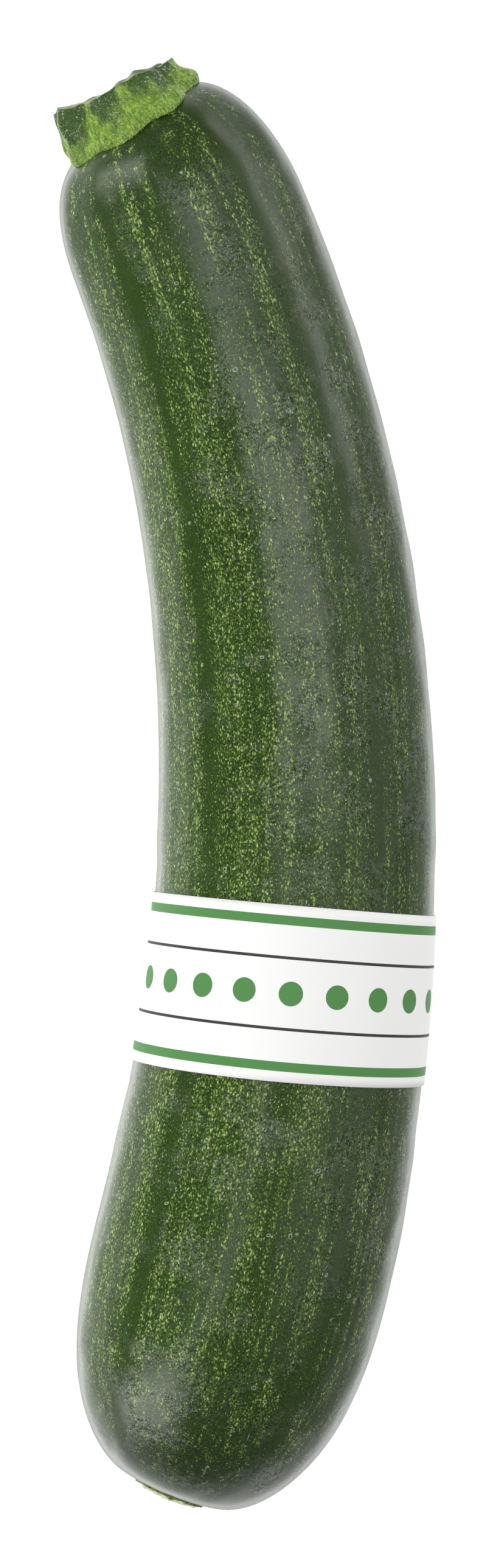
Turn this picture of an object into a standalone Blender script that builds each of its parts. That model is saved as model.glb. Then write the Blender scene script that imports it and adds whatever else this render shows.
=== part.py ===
"""A bent zucchini, picked and lying on its side: the fruit, its cut stem, its blossom scar and a paper band.

Metres, +Z up. +Y runs along the fruit towards the stem, and +X points to the outside of its bend. The
origin is on the surface that the fruit lies on, under the middle of its bounding box.
"""

import math

import bmesh
import bpy
import numpy as np

# Line down the middle of the fruit, from the blossom end to the stem end
PATH_LENGTH = 0.2558
BLOSSOM_END_X = -0.01432
BLOSSOM_END_Y = -0.12868
HEADING_AT_BLOSSOM = math.radians(19.9)
HEADING_CHANGE = math.radians(-32.9)
HEADING_CURL = math.radians(-14.6)
STEM_END_RISE = 0.0073
STEM_END_RISE_LENGTH = 0.045
BLOSSOM_END_RISE = 0.0018
BLOSSOM_END_RISE_LENGTH = 0.035
SHOULDER_TURN = math.radians(-8.0)
SHOULDER_TURN_FADE = 0.0085
BLOSSOM_TURN = math.radians(2.4)
BLOSSOM_TURN_FADE = 0.012
BLOSSOM_FLAT_DEPTH = 0.0026
BLOSSOM_FLAT_SOFTNESS = 0.0012

# Girth: a straight taper, closed by a rounded cap at each end
RADIUS_AT_BLOSSOM = 0.0283
RADIUS_AT_STEM = 0.0215
BLOSSOM_CAP_LENGTH = 0.0690
BLOSSOM_CAP_FULLNESS = 4.0
BLOSSOM_CAP_BLUNTNESS = 1.80
STEM_CAP_LENGTH = 0.0237
STEM_CAP_FULLNESS = 2.1
STEM_CAP_BLUNTNESS = 4.0

# Five low ridges along the skin, with a lower one in each furrow, as shares of the radius
RIDGE_COUNT = 5
RIDGE_TURN = math.radians(94)
RIDGE_SHARPNESS = 1.8
RIDGE_HEIGHT = 0.012
RIDGE_HEIGHT_AT_STEM = 0.050
RIDGE_HEIGHT_AT_BLOSSOM = 0.024
FURROW_RIDGE_SHARPNESS = 4.0
FURROW_RIDGE_SHARE = 0.35
RIDGE_LEVEL = 0.5
RIDGE_FADE = 0.028

# Paper band: its loop has one width all round, and its outer side has slipped a little towards the stem
GAP = 0.0003
BAND_THICKNESS = 0.0003
BAND_WIDTH = 0.0300
BAND_MIDDLE = 0.0949
BAND_SLIP = 0.0003
BAND_ROWS = 4

# The flat spot that the fruit rests on, and how far the band presses the skin in
FLAT_DEPTH = 0.0004
BAND_PRESS = 0.0003
BAND_PRESS_UNDERNEATH = 0.0006
BAND_PRESS_MARGIN = 0.006
BAND_PRESS_SLOPE = 0.006

# Stem stub: its foot clasps the shoulder, eight ridges run up it, and its cut end is slanted and dished
STEM_HEADING = math.radians(-31.0)
STEM_CLIMB = math.radians(17.0)
STEM_FOOT_REACH = 0.0128
STEM_FOOT_OFFSET = 0.0024
STEM_FOOT_OFFSET_TURN = math.radians(98)
STEM_TOP_RADIUS = 0.0111
STEM_LIP = 0.0007
STEM_RIDGES = 8
STEM_RIDGE_TURN = math.radians(107)
STEM_RIDGE_HEIGHT = 0.14
STEM_FOOT_RIDGE_HEIGHT = 0.06
STEM_CUT_HEIGHT = 0.0055
STEM_CUT_SLANT = 0.0012
STEM_CUT_LOW_TURN = math.radians(-20)
STEM_CUT_RIPPLE = 0.0003
STEM_CUT_RIPPLES = (3, 5)
STEM_CUT_DISH = 0.0009

# Blossom scar: a low corky dome with an uneven rim
SCAR_RADIUS = 0.0065
SCAR_RIM_THICKNESS = 0.0005
SCAR_DOME_HEIGHT = 0.0009
SCAR_RIM_WAVES = (3, 7)
SCAR_RIM_WAVE_SHARE = 0.035

# Fineness of the meshes
STATIONS = 4001
SEGMENTS_ROUND = 72
FRUIT_RINGS = 58
STEM_SEGMENTS = 64
STEM_RINGS = 16
SCAR_SEGMENTS = 36
SCAR_RINGS = 10

# Shares of the stem's rings at which its underside and its wall end, and of the scar's at which its dome and its rim end
STEM_UNDERSIDE = 6 / STEM_RINGS
STEM_WALL = 12 / STEM_RINGS
SCAR_DOME = 4 / SCAR_RINGS
SCAR_RIM = 6 / SCAR_RINGS


def clear_scene():
    for old in list(bpy.data.objects):
        bpy.data.objects.remove(old)


def new_collection(name):
    collection = bpy.data.collections.new(name)
    bpy.context.scene.collection.children.link(collection)
    return collection


def finish(name, colour, roughness):
    """A Principled material with one colour."""
    material = bpy.data.materials.new(name)
    material.use_nodes = True
    shader = material.node_tree.nodes["Principled BSDF"]
    shader.inputs["Base Color"].default_value = (*colour, 1.0)
    shader.inputs["Roughness"].default_value = roughness
    shader.inputs["Metallic"].default_value = 0.0
    return material


def add_object(name, mesh, material, collection):
    mesh.materials.append(material)
    mesh.shade_smooth()
    made = bpy.data.objects.new(name, mesh)
    collection.objects.link(made)
    return made


def shaped_ball(name, segments, rings, surface):
    """A ball of quads whose points are moved by surface(run, turn).

    run goes from 0 at one pole to 1 at the other, and turn is the angle round the line between them.
    """
    ball = bmesh.new()
    bmesh.ops.create_uvsphere(ball, u_segments=segments, v_segments=rings, radius=1.0)
    points = np.array([vertex.co for vertex in ball.verts])
    run = np.arccos(np.clip(points[:, 2], -1.0, 1.0)) / math.pi
    turn = np.arctan2(points[:, 1], points[:, 0])
    for vertex, place in zip(ball.verts, surface(run, turn)):
        vertex.co = place
    mesh = bpy.data.meshes.new(name)
    ball.to_mesh(mesh)
    ball.free()
    return mesh


def cap(share, fullness, bluntness):
    """Girth of a rounded end: 1 where share is 0, falling to 0 at the pole, where share is 1."""
    return (1.0 - np.clip(share, 0.0, 1.0) ** fullness) ** (1.0 / bluntness)


def ridges(turn, distance):
    """How far the skin stands out of a plain round section, as a share of the radius."""
    wave = np.cos(RIDGE_COUNT * (turn - RIDGE_TURN))
    main = ((1.0 + wave) / 2.0) ** RIDGE_SHARPNESS
    minor = ((1.0 - wave) / 2.0) ** FURROW_RIDGE_SHARPNESS
    near_stem = np.exp((distance - PATH_LENGTH) / RIDGE_FADE)
    near_blossom = np.exp(-distance / RIDGE_FADE)
    height = RIDGE_HEIGHT + (RIDGE_HEIGHT_AT_STEM - RIDGE_HEIGHT) * near_stem
    height = height + (RIDGE_HEIGHT_AT_BLOSSOM - RIDGE_HEIGHT) * near_blossom
    return height * (main + FURROW_RIDGE_SHARE * minor - RIDGE_LEVEL)


def smooth_step(value):
    value = np.clip(value, 0.0, 1.0)
    return value * value * (3.0 - 2.0 * value)


def running_sum(values, distance):
    """The integral of values over distance, by the trapezium rule."""
    steps = (values[1:] + values[:-1]) / 2.0 * np.diff(distance)
    return np.concatenate([[0.0], np.cumsum(steps)])


def under_band(distance):
    """1 where the band presses on the skin, falling smoothly to 0 past its edges."""
    reach = BAND_WIDTH / 2.0 + BAND_PRESS_MARGIN + BAND_PRESS_SLOPE
    return smooth_step((reach - np.abs(distance - BAND_MIDDLE)) / BAND_PRESS_SLOPE)


def fruit_lines():
    """Arrays from the blossom end to the stem end: the middle line, its frame and the girth round it.

    skin is the length along the skin from the blossom pole, by which the other arrays are looked up.
    """
    share = (1.0 - np.cos(np.linspace(0.0, math.pi, STATIONS))) / 2.0
    distance = PATH_LENGTH * share
    left = PATH_LENGTH - distance
    heading = HEADING_AT_BLOSSOM + HEADING_CHANGE * share + HEADING_CURL * share**2
    heading = heading + SHOULDER_TURN * np.exp(-left / SHOULDER_TURN_FADE)
    heading = heading + BLOSSOM_TURN * np.exp(-distance / BLOSSOM_TURN_FADE)
    bend = -(HEADING_CHANGE + 2.0 * HEADING_CURL * share) / PATH_LENGTH
    taper = RADIUS_AT_BLOSSOM + (RADIUS_AT_STEM - RADIUS_AT_BLOSSOM) * share
    radius = taper * cap(1.0 - distance / BLOSSOM_CAP_LENGTH, BLOSSOM_CAP_FULLNESS, BLOSSOM_CAP_BLUNTNESS)
    radius = radius * cap(1.0 - left / STEM_CAP_LENGTH, STEM_CAP_FULLNESS, STEM_CAP_BLUNTNESS)
    radius = radius - BAND_PRESS * under_band(distance)
    stem_rise = STEM_END_RISE * np.clip(1.0 - left / STEM_END_RISE_LENGTH, 0.0, 1.0) ** 2
    blossom_rise = BLOSSOM_END_RISE * np.clip(1.0 - distance / BLOSSOM_END_RISE_LENGTH, 0.0, 1.0) ** 2
    belly = taper * (1.0 + ridges(-math.pi / 2.0, distance))
    height = belly - FLAT_DEPTH + stem_rise + blossom_rise
    path = {
        "heading": heading,
        "climb": np.arctan(np.gradient(height, distance)),
        "bend": bend,
        "x": BLOSSOM_END_X + running_sum(np.sin(heading), distance),
        "y": BLOSSOM_END_Y + running_sum(np.cos(heading), distance),
        "z": height,
    }
    past_flat = (distance - BLOSSOM_FLAT_DEPTH) / BLOSSOM_FLAT_SOFTNESS
    reached = BLOSSOM_FLAT_DEPTH + BLOSSOM_FLAT_SOFTNESS * np.logaddexp(0.0, past_flat)
    reached = np.minimum(reached, PATH_LENGTH)
    lines = {name: np.interp(reached, distance, values) for name, values in path.items()}
    lines["distance"] = reached
    lines["radius"] = radius
    step = np.hypot(np.diff(reached), np.diff(radius))
    lines["skin"] = np.concatenate([[0.0], np.cumsum(step)])
    lines["lean_out"] = -np.gradient(radius, lines["skin"])
    return lines


def look_up(lines, name, skin):
    return np.interp(skin, lines["skin"], lines[name])


def directions(heading, climb):
    """The forward, sideways and upward unit vectors of a line with this heading and climb."""
    flat = np.zeros_like(heading)
    forward = np.stack([np.sin(heading) * np.cos(climb), np.cos(heading) * np.cos(climb), np.sin(climb)], -1)
    sideways = np.stack([np.cos(heading), -np.sin(heading), flat], -1)
    upward = np.stack([-np.sin(climb) * np.sin(heading), -np.sin(climb) * np.cos(heading), np.cos(climb)], -1)
    return forward, sideways, upward


def middle_at(lines, skin):
    return np.stack([look_up(lines, axis, skin) for axis in "xyz"], -1)


def skin_point(lines, skin, turn, proud=0.0):
    """Points on the fruit's skin, or standing proud of it, at a length along the skin and an angle round it."""
    distance = look_up(lines, "distance", skin)
    forward, sideways, upward = directions(look_up(lines, "heading", skin), look_up(lines, "climb", skin))
    outward = sideways * np.cos(turn)[:, None] + upward * np.sin(turn)[:, None]
    lean = np.clip(look_up(lines, "lean_out", skin), -1.0, 1.0)
    radius = look_up(lines, "radius", skin) * (1.0 + ridges(turn, distance))
    radius = radius + proud * np.sqrt(1.0 - lean**2)
    points = middle_at(lines, skin) + outward * radius[:, None] + forward * (proud * lean)[:, None]
    floor = BAND_PRESS_UNDERNEATH * under_band(distance) - proud
    points[:, 2] = np.maximum(points[:, 2], floor)
    return points


def make_fruit(lines, collection):
    """The whole fruit as one solid, its rings evenly spaced along the skin."""
    skin_length = lines["skin"][-1]
    mesh = shaped_ball(
        "fruit", SEGMENTS_ROUND, FRUIT_RINGS, lambda run, turn: skin_point(lines, run * skin_length, turn)
    )
    return add_object("fruit", mesh, finish("green_skin", (0.045, 0.085, 0.02), 0.42), collection)


def make_band(lines, collection):
    """A closed loop of thin paper round the fruit, a hair off the skin."""
    sheet = bmesh.new()
    bmesh.ops.create_grid(sheet, x_segments=SEGMENTS_ROUND, y_segments=BAND_ROWS, size=1.0)
    points = np.array([vertex.co for vertex in sheet.verts])
    turn = math.pi * points[:, 0]
    bend, radius = (np.interp(BAND_MIDDLE, lines["distance"], lines[name]) for name in ("bend", "radius"))
    across = BAND_WIDTH / 2.0 * points[:, 1] + BAND_SLIP * np.cos(turn)
    distance = BAND_MIDDLE + across / (1.0 + bend * radius * np.cos(turn))
    skin = np.interp(distance, lines["distance"], lines["skin"])
    for vertex, place in zip(sheet.verts, skin_point(lines, skin, turn, GAP)):
        vertex.co = place
    bmesh.ops.remove_doubles(sheet, verts=sheet.verts, dist=1e-6)
    bmesh.ops.recalc_face_normals(sheet, faces=sheet.faces)
    mesh = bpy.data.meshes.new("paper_band")
    sheet.to_mesh(mesh)
    sheet.free()
    band = add_object("paper_band", mesh, finish("white_paper", (0.85, 0.85, 0.85), 0.5), collection)
    wall = band.modifiers.new("paper thickness", "SOLIDIFY")
    wall.thickness = BAND_THICKNESS
    wall.offset = 1.0
    return band


def stem_point(lines, run, turn):
    """Points of the stem stub: its underside on the shoulder, its ridged wall and its dished cut."""
    underside = np.clip(run / STEM_UNDERSIDE, 0.0, 1.0)
    wall = np.clip((run - STEM_UNDERSIDE) / (STEM_WALL - STEM_UNDERSIDE), 0.0, 1.0)[:, None]
    cut = np.clip((1.0 - run) / (1.0 - STEM_WALL), 0.0, 1.0)
    ridge = 0.5 * np.cos(STEM_RIDGES * (turn - STEM_RIDGE_TURN))
    reach = STEM_FOOT_REACH + STEM_FOOT_OFFSET * np.cos(turn - STEM_FOOT_OFFSET_TURN)
    reach = reach * (1.0 + STEM_FOOT_RIDGE_HEIGHT * ridge)
    skin_length = lines["skin"][-1]
    foot = skin_point(lines, skin_length - reach * underside, turn, GAP)
    axis, sideways, upward = directions(STEM_HEADING, STEM_CLIMB)
    outward = sideways * np.cos(turn)[:, None] + upward * np.sin(turn)[:, None]
    ripple = sum(np.cos(count * turn + count) for count in STEM_CUT_RIPPLES)
    edge_height = -STEM_CUT_SLANT * np.cos(turn - STEM_CUT_LOW_TURN) + STEM_CUT_RIPPLE * ripple
    height = STEM_CUT_HEIGHT + edge_height * cut - STEM_CUT_DISH * (1.0 - cut**2)
    radius = STEM_TOP_RADIUS * (1.0 + STEM_RIDGE_HEIGHT * ridge * cut**2) * cut
    cut_face = middle_at(lines, skin_length) + outward * radius[:, None] + axis * height[:, None]
    body = foot + (cut_face - foot) * wall + outward * STEM_LIP * np.sin(math.pi * wall**0.5)
    return np.where((run > STEM_UNDERSIDE)[:, None], body, foot)


def make_stem(lines, collection):
    """The stub of stem left on the picked fruit."""
    mesh = shaped_ball("stem", STEM_SEGMENTS, STEM_RINGS, lambda run, turn: stem_point(lines, run, turn))
    return add_object("stem", mesh, finish("green_stem", (0.14, 0.28, 0.03), 0.55), collection)


def scar_point(lines, run, turn):
    """Points of the blossom scar: its dome, its rim and its underside on the end of the fruit."""
    dome = np.clip(run / SCAR_DOME, 0.0, 1.0)
    underside = np.clip((1.0 - run) / (1.0 - SCAR_RIM), 0.0, 1.0)
    rim = np.clip((run - SCAR_DOME) / (SCAR_RIM - SCAR_DOME), 0.0, 1.0)
    waves = sum(np.cos(count * turn + count) for count in SCAR_RIM_WAVES)
    reach = SCAR_RADIUS * (1.0 + SCAR_RIM_WAVE_SHARE * waves) * np.minimum(dome, underside)
    crown = SCAR_RIM_THICKNESS + SCAR_DOME_HEIGHT * (1.0 - dome**2)
    proud = GAP + crown * (1.0 - rim)
    return skin_point(lines, reach, turn, proud)


def make_scar(lines, collection):
    """The corky disc where the flower was."""
    mesh = shaped_ball(
        "blossom_scar", SCAR_SEGMENTS, SCAR_RINGS, lambda run, turn: scar_point(lines, run, turn)
    )
    return add_object("blossom_scar", mesh, finish("corky_scar", (0.55, 0.5, 0.36), 0.7), collection)


clear_scene()
zucchini = new_collection("zucchini")
fruit_shape = fruit_lines()
make_fruit(fruit_shape, zucchini)
make_band(fruit_shape, zucchini)
make_stem(fruit_shape, zucchini)
make_scar(fruit_shape, zucchini)
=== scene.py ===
"""A bent zucchini with a paper band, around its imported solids. Metres, +Z up, +Y towards the stem."""

import math

import bpy
import numpy as np
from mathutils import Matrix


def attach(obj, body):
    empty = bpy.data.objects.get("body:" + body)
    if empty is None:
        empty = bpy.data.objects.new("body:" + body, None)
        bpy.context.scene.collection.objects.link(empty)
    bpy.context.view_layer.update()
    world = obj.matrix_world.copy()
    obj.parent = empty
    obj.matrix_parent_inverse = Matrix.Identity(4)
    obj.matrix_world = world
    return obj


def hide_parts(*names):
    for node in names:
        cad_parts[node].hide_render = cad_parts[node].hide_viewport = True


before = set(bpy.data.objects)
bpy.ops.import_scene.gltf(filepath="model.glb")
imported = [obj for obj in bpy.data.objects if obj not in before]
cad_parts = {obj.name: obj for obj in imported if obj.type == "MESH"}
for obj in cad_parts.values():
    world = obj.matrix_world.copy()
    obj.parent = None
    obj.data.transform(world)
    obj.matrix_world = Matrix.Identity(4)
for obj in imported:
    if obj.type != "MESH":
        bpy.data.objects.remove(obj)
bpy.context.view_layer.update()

# The fruit
# A young zucchini, picked and lying on its side: one piece of flesh under a thin waxy skin. It grew
# bent, thicker at the blossom end, with five low ridges that are strongest at the shoulder. Pale
# flecks stand in rows along the skin, and the furrows keep nearly bare dark lanes.
PATH_LENGTH = 0.2558
BLOSSOM_END_X = -0.01432
BLOSSOM_END_Y = -0.12868
HEADING_AT_BLOSSOM = math.radians(19.9)
HEADING_CHANGE = math.radians(-32.9)
HEADING_CURL = math.radians(-14.6)
STEM_END_RISE = 0.0073
STEM_END_RISE_LENGTH = 0.045
BLOSSOM_END_RISE = 0.0018
BLOSSOM_END_RISE_LENGTH = 0.035
SHOULDER_TURN = math.radians(-8.0)
SHOULDER_TURN_FADE = 0.0085
BLOSSOM_TURN = math.radians(2.4)
BLOSSOM_TURN_FADE = 0.012
BLOSSOM_FLAT_DEPTH = 0.0026
BLOSSOM_FLAT_SOFTNESS = 0.0012

RADIUS_AT_BLOSSOM = 0.0283
RADIUS_AT_STEM = 0.0215
BLOSSOM_CAP_LENGTH = 0.0690
BLOSSOM_CAP_FULLNESS = 4.0
BLOSSOM_CAP_BLUNTNESS = 1.80
STEM_CAP_LENGTH = 0.0237
STEM_CAP_FULLNESS = 2.1
STEM_CAP_BLUNTNESS = 4.0

RIDGE_COUNT = 5
RIDGE_TURN = math.radians(94)
RIDGE_SHARPNESS = 1.8
RIDGE_HEIGHT = 0.012
RIDGE_HEIGHT_AT_STEM = 0.050
RIDGE_HEIGHT_AT_BLOSSOM = 0.024
FURROW_RIDGE_SHARPNESS = 4.0
FURROW_RIDGE_SHARE = 0.35
RIDGE_LEVEL = 0.5
RIDGE_FADE = 0.028

BAND_WIDTH = 0.0300
BAND_MIDDLE = 0.0949
BAND_SLIP = 0.0003
FLAT_DEPTH = 0.0004
BAND_PRESS = 0.0003
BAND_PRESS_UNDERNEATH = 0.0006
BAND_PRESS_MARGIN = 0.006
BAND_PRESS_SLOPE = 0.006

STATIONS = 4001
SKIN_STEPS_ROUND = 256
SKIN_RINGS = 384
DENT_TURN = math.radians(80)
DENT_FROM_STEM = 0.0135
DENT_DEPTH = 0.0009
DENT_SPREAD = 0.0045
LANE_OFFSET = math.radians(1.5)
LANE_HALF_WIDTH = 0.0012
LANE_SOFTNESS = 0.0012
LANE_WANDER = 0.0003
LANE_REACH = 0.16
SWELLING = 0.00005
SMALL_SWELLING = 0.00004


def smooth_step(value):
    """0 below 0 and 1 above 1, with a smooth S between them: three times the square less twice the cube."""
    value = np.clip(value, 0.0, 1.0)
    return value * value * (3.0 - 2.0 * value)


def cap(share, fullness, bluntness):
    """Girth of a rounded end: one less the share to a power, all to the power one over the bluntness."""
    return (1.0 - np.clip(share, 0.0, 1.0) ** fullness) ** (1.0 / bluntness)


def ridges(turn, distance):
    """Five raised cosines round the girth, with sharper, lower ones between, as shares of the radius."""
    wave = np.cos(RIDGE_COUNT * (turn - RIDGE_TURN))
    main = ((1.0 + wave) / 2.0) ** RIDGE_SHARPNESS
    minor = ((1.0 - wave) / 2.0) ** FURROW_RIDGE_SHARPNESS
    near_stem = np.exp((distance - PATH_LENGTH) / RIDGE_FADE)
    near_blossom = np.exp(-distance / RIDGE_FADE)
    height = RIDGE_HEIGHT + (RIDGE_HEIGHT_AT_STEM - RIDGE_HEIGHT) * near_stem
    height = height + (RIDGE_HEIGHT_AT_BLOSSOM - RIDGE_HEIGHT) * near_blossom
    return height * (main + FURROW_RIDGE_SHARE * minor - RIDGE_LEVEL)


def running_sum(values, distance):
    """The integral of values over distance, by the trapezium rule."""
    steps = (values[1:] + values[:-1]) / 2.0 * np.diff(distance)
    return np.concatenate([[0.0], np.cumsum(steps)])


def under_band(distance):
    """1 where the band presses on the skin, falling smoothly to 0 past its edges."""
    reach = BAND_WIDTH / 2.0 + BAND_PRESS_MARGIN + BAND_PRESS_SLOPE
    return smooth_step((reach - np.abs(distance - BAND_MIDDLE)) / BAND_PRESS_SLOPE)


def fruit_lines():
    """The middle line of the fruit, its heading and climb, and the girth round it, from end to end.

    The heading changes by a quadratic in the share of the length, plus a short extra turn at each end.
    The radius is a straight taper times the two caps. skin is the length along the skin.
    """
    share = (1.0 - np.cos(np.linspace(0.0, math.pi, STATIONS))) / 2.0
    distance = PATH_LENGTH * share
    left = PATH_LENGTH - distance
    heading = HEADING_AT_BLOSSOM + HEADING_CHANGE * share + HEADING_CURL * share**2
    heading = heading + SHOULDER_TURN * np.exp(-left / SHOULDER_TURN_FADE)
    heading = heading + BLOSSOM_TURN * np.exp(-distance / BLOSSOM_TURN_FADE)
    bend = -(HEADING_CHANGE + 2.0 * HEADING_CURL * share) / PATH_LENGTH
    taper = RADIUS_AT_BLOSSOM + (RADIUS_AT_STEM - RADIUS_AT_BLOSSOM) * share
    radius = taper * cap(1.0 - distance / BLOSSOM_CAP_LENGTH, BLOSSOM_CAP_FULLNESS, BLOSSOM_CAP_BLUNTNESS)
    radius = radius * cap(1.0 - left / STEM_CAP_LENGTH, STEM_CAP_FULLNESS, STEM_CAP_BLUNTNESS)
    radius = radius - BAND_PRESS * under_band(distance)
    stem_rise = STEM_END_RISE * np.clip(1.0 - left / STEM_END_RISE_LENGTH, 0.0, 1.0) ** 2
    blossom_rise = BLOSSOM_END_RISE * np.clip(1.0 - distance / BLOSSOM_END_RISE_LENGTH, 0.0, 1.0) ** 2
    belly = taper * (1.0 + ridges(-math.pi / 2.0, distance))
    height = belly - FLAT_DEPTH + stem_rise + blossom_rise
    path = {
        "heading": heading,
        "climb": np.arctan(np.gradient(height, distance)),
        "bend": bend,
        "x": BLOSSOM_END_X + running_sum(np.sin(heading), distance),
        "y": BLOSSOM_END_Y + running_sum(np.cos(heading), distance),
        "z": height,
    }
    past_flat = (distance - BLOSSOM_FLAT_DEPTH) / BLOSSOM_FLAT_SOFTNESS
    reached = BLOSSOM_FLAT_DEPTH + BLOSSOM_FLAT_SOFTNESS * np.logaddexp(0.0, past_flat)
    reached = np.minimum(reached, PATH_LENGTH)
    lines = {name: np.interp(reached, distance, values) for name, values in path.items()}
    lines["distance"] = reached
    lines["radius"] = radius
    step = np.hypot(np.diff(reached), np.diff(radius))
    lines["skin"] = np.concatenate([[0.0], np.cumsum(step)])
    lines["lean_out"] = -np.gradient(radius, lines["skin"])
    return lines


def directions(heading, climb):
    """The forward, sideways and upward unit vectors of a line with this heading and climb."""
    flat = np.zeros_like(heading)
    forward = np.stack(
        [np.sin(heading) * np.cos(climb), np.cos(heading) * np.cos(climb), np.sin(climb)], -1
    )
    sideways = np.stack([np.cos(heading), -np.sin(heading), flat], -1)
    upward = np.stack(
        [-np.sin(climb) * np.sin(heading), -np.sin(climb) * np.cos(heading), np.cos(climb)], -1
    )
    return forward, sideways, upward


def skin_frame(skin, turn):
    """Where the middle line is, and the forward and outward directions, at a length along the skin."""
    found = {name: np.interp(skin, LINES["skin"], values) for name, values in LINES.items()}
    forward, sideways, upward = directions(found["heading"], found["climb"])
    outward = sideways * np.cos(turn)[..., None] + upward * np.sin(turn)[..., None]
    middle = np.stack([found["x"], found["y"], found["z"]], -1)
    return found, middle, forward, outward


def skin_point(skin, turn, proud=0.0):
    """Points on the skin, or standing proud of it: the middle line plus the ridged radius outwards.

    proud is laid along the slope of the skin, and nothing reaches below the floor."""
    found, middle, forward, outward = skin_frame(skin, turn)
    lean = np.clip(found["lean_out"], -1.0, 1.0)
    radius = found["radius"] * (1.0 + ridges(turn, found["distance"])) + proud * np.sqrt(1.0 - lean**2)
    points = middle + outward * radius[..., None] + forward * (proud * lean)[..., None]
    floor = BAND_PRESS_UNDERNEATH * under_band(found["distance"]) - proud
    points[..., 2] = np.maximum(points[..., 2], np.maximum(floor, 0.0))
    return points


def waves(skin, turn, count, around, along, seed):
    """A sum of cosines over the skin with seeded directions and phases, closed round the girth."""
    draw = np.random.default_rng(seed)
    total = 0.0
    for _ in range(count):
        turns = draw.integers(-around, around + 1)
        rate = 2.0 * math.pi * draw.uniform(0.3, 1.0) / along
        total = total + np.cos(turns * turn + rate * skin + draw.uniform(0.0, 2.0 * math.pi))
    return total / math.sqrt(count)


def spread(values):
    """A grid of values as one row for each vertex of closed_grid."""
    return np.concatenate([values[:1, 0], values[1:-1].reshape((-1,) + values.shape[2:]), values[-1:, 0]])


def closed_grid(name, points):
    """Mesh of rings that close round, with the first and last ring drawn together into one point each.

    It also gives the row and column of every corner of every face, for the maps."""
    rows, columns = points.shape[:2]
    vertex = np.zeros((rows, columns), int)
    vertex[1:-1] = 1 + np.arange((rows - 2) * columns).reshape(rows - 2, columns)
    vertex[-1] = 1 + (rows - 2) * columns
    row, column = (each.ravel() for each in np.mgrid[0 : rows - 1, 0:columns])
    corner_rows = np.stack([row, row + 1, row + 1, row], -1)
    corner_columns = np.stack([column, column, column + 1, column + 1], -1)
    faces = vertex[corner_rows, corner_columns % columns]
    kept = np.ones(faces.shape, bool)
    kept[row == 0, 3] = False
    kept[row == rows - 2, 1] = False
    first = faces[:columns, :3]
    last = faces[-columns:][:, [0, 2, 3]]
    faces = first.tolist() + faces[columns:-columns].tolist() + last.tolist()
    mesh = bpy.data.meshes.new(name)
    mesh.from_pydata(spread(points).tolist(), [], faces)
    mesh.shade_smooth()
    return mesh, corner_rows[kept], corner_columns[kept]


def add_map(mesh, name, across, up):
    """Puts a flat map on the mesh, with one place for each corner of each face."""
    places = np.stack([across, up], -1).astype(np.float32)
    mesh.uv_layers.new(name=name).data.foreach_set("uv", places.ravel())


def add_values(mesh, name, values):
    """Puts a grid of numbers on the mesh, one for each vertex."""
    made = mesh.attributes.new(name, "FLOAT", "POINT")
    made.data.foreach_set("value", spread(values).astype(np.float32))


def add_vectors(mesh, name, values):
    """Puts a grid of vectors on the mesh, one for each vertex."""
    made = mesh.attributes.new(name, "FLOAT_VECTOR", "POINT")
    made.data.foreach_set("vector", spread(values).astype(np.float32).ravel())


def linear(colour):
    """An sRGB hex colour as linear red, green, blue and alpha."""
    parts = [int(colour[place : place + 2], 16) / 255.0 for place in (0, 2, 4)]
    return (*[part / 12.92 if part <= 0.04045 else ((part + 0.055) / 1.055) ** 2.4 for part in parts], 1.0)


def new_material(name):
    """An empty node material with its Principled shader."""
    material = bpy.data.materials.new(name)
    material.use_nodes = True
    return material, material.node_tree, material.node_tree.nodes["Principled BSDF"]


def node(tree, kind, inputs, output=0, **settings):
    """Adds a shader node, sets or links its inputs, and returns one of its outputs."""
    made = tree.nodes.new("ShaderNode" + kind)
    for name, value in settings.items():
        setattr(made, name, value)
    for name, value in inputs.items():
        if isinstance(value, bpy.types.NodeSocket):
            tree.links.new(value, made.inputs[name])
        else:
            made.inputs[name].default_value = value
    return made.outputs[output]


LINES = fruit_lines()
SKIN_LENGTH = LINES["skin"][-1]
skin_share, skin_turn = np.meshgrid(
    np.linspace(0.0, 1.0, SKIN_RINGS + 1),
    np.arange(SKIN_STEPS_ROUND) * 2.0 * math.pi / SKIN_STEPS_ROUND - math.pi,
    indexing="ij",
)
skin_run = skin_share * SKIN_LENGTH
skin_places = skin_point(skin_run, skin_turn)
skin_found, _, _, skin_outward = skin_frame(skin_run, skin_turn)

# A shallow dent in the shoulder, and slow uneven swellings that fade where the fruit rests
from_stem = SKIN_LENGTH - skin_run
dent_across = (skin_turn - DENT_TURN) * skin_found["radius"]
dent = np.exp(-((from_stem - DENT_FROM_STEM) ** 2 + dent_across**2) / DENT_SPREAD**2)
swelling = SWELLING * waves(skin_run, skin_turn, 14, 6, 0.06, 3)
swelling = swelling + SMALL_SWELLING * waves(skin_run, skin_turn, 24, 20, 0.012, 4)
quiet = smooth_step((skin_places[..., 2] - 0.0005) / 0.006)
quiet = quiet * smooth_step(skin_run / 0.02) * smooth_step(from_stem / 0.02)
quiet = quiet * (1.0 - under_band(skin_found["distance"])) * (1.0 - 0.7 * np.exp(-from_stem / 0.03))
skin_places = skin_places + skin_outward * (swelling * quiet - DENT_DEPTH * dent)[..., None]
skin_mesh, map_rows, map_columns = closed_grid("fruit_skin", skin_places)
add_map(skin_mesh, "OFBake", map_columns / SKIN_STEPS_ROUND, map_rows / SKIN_RINGS)

# Places on the fruit as if it were straight, in metres, so that flecks have no seam
straight = np.stack(
    [
        skin_found["radius"] * np.cos(skin_turn),
        skin_run,
        skin_found["radius"] * np.sin(skin_turn),
    ],
    -1,
)
add_vectors(skin_mesh, "straight", straight)

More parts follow.
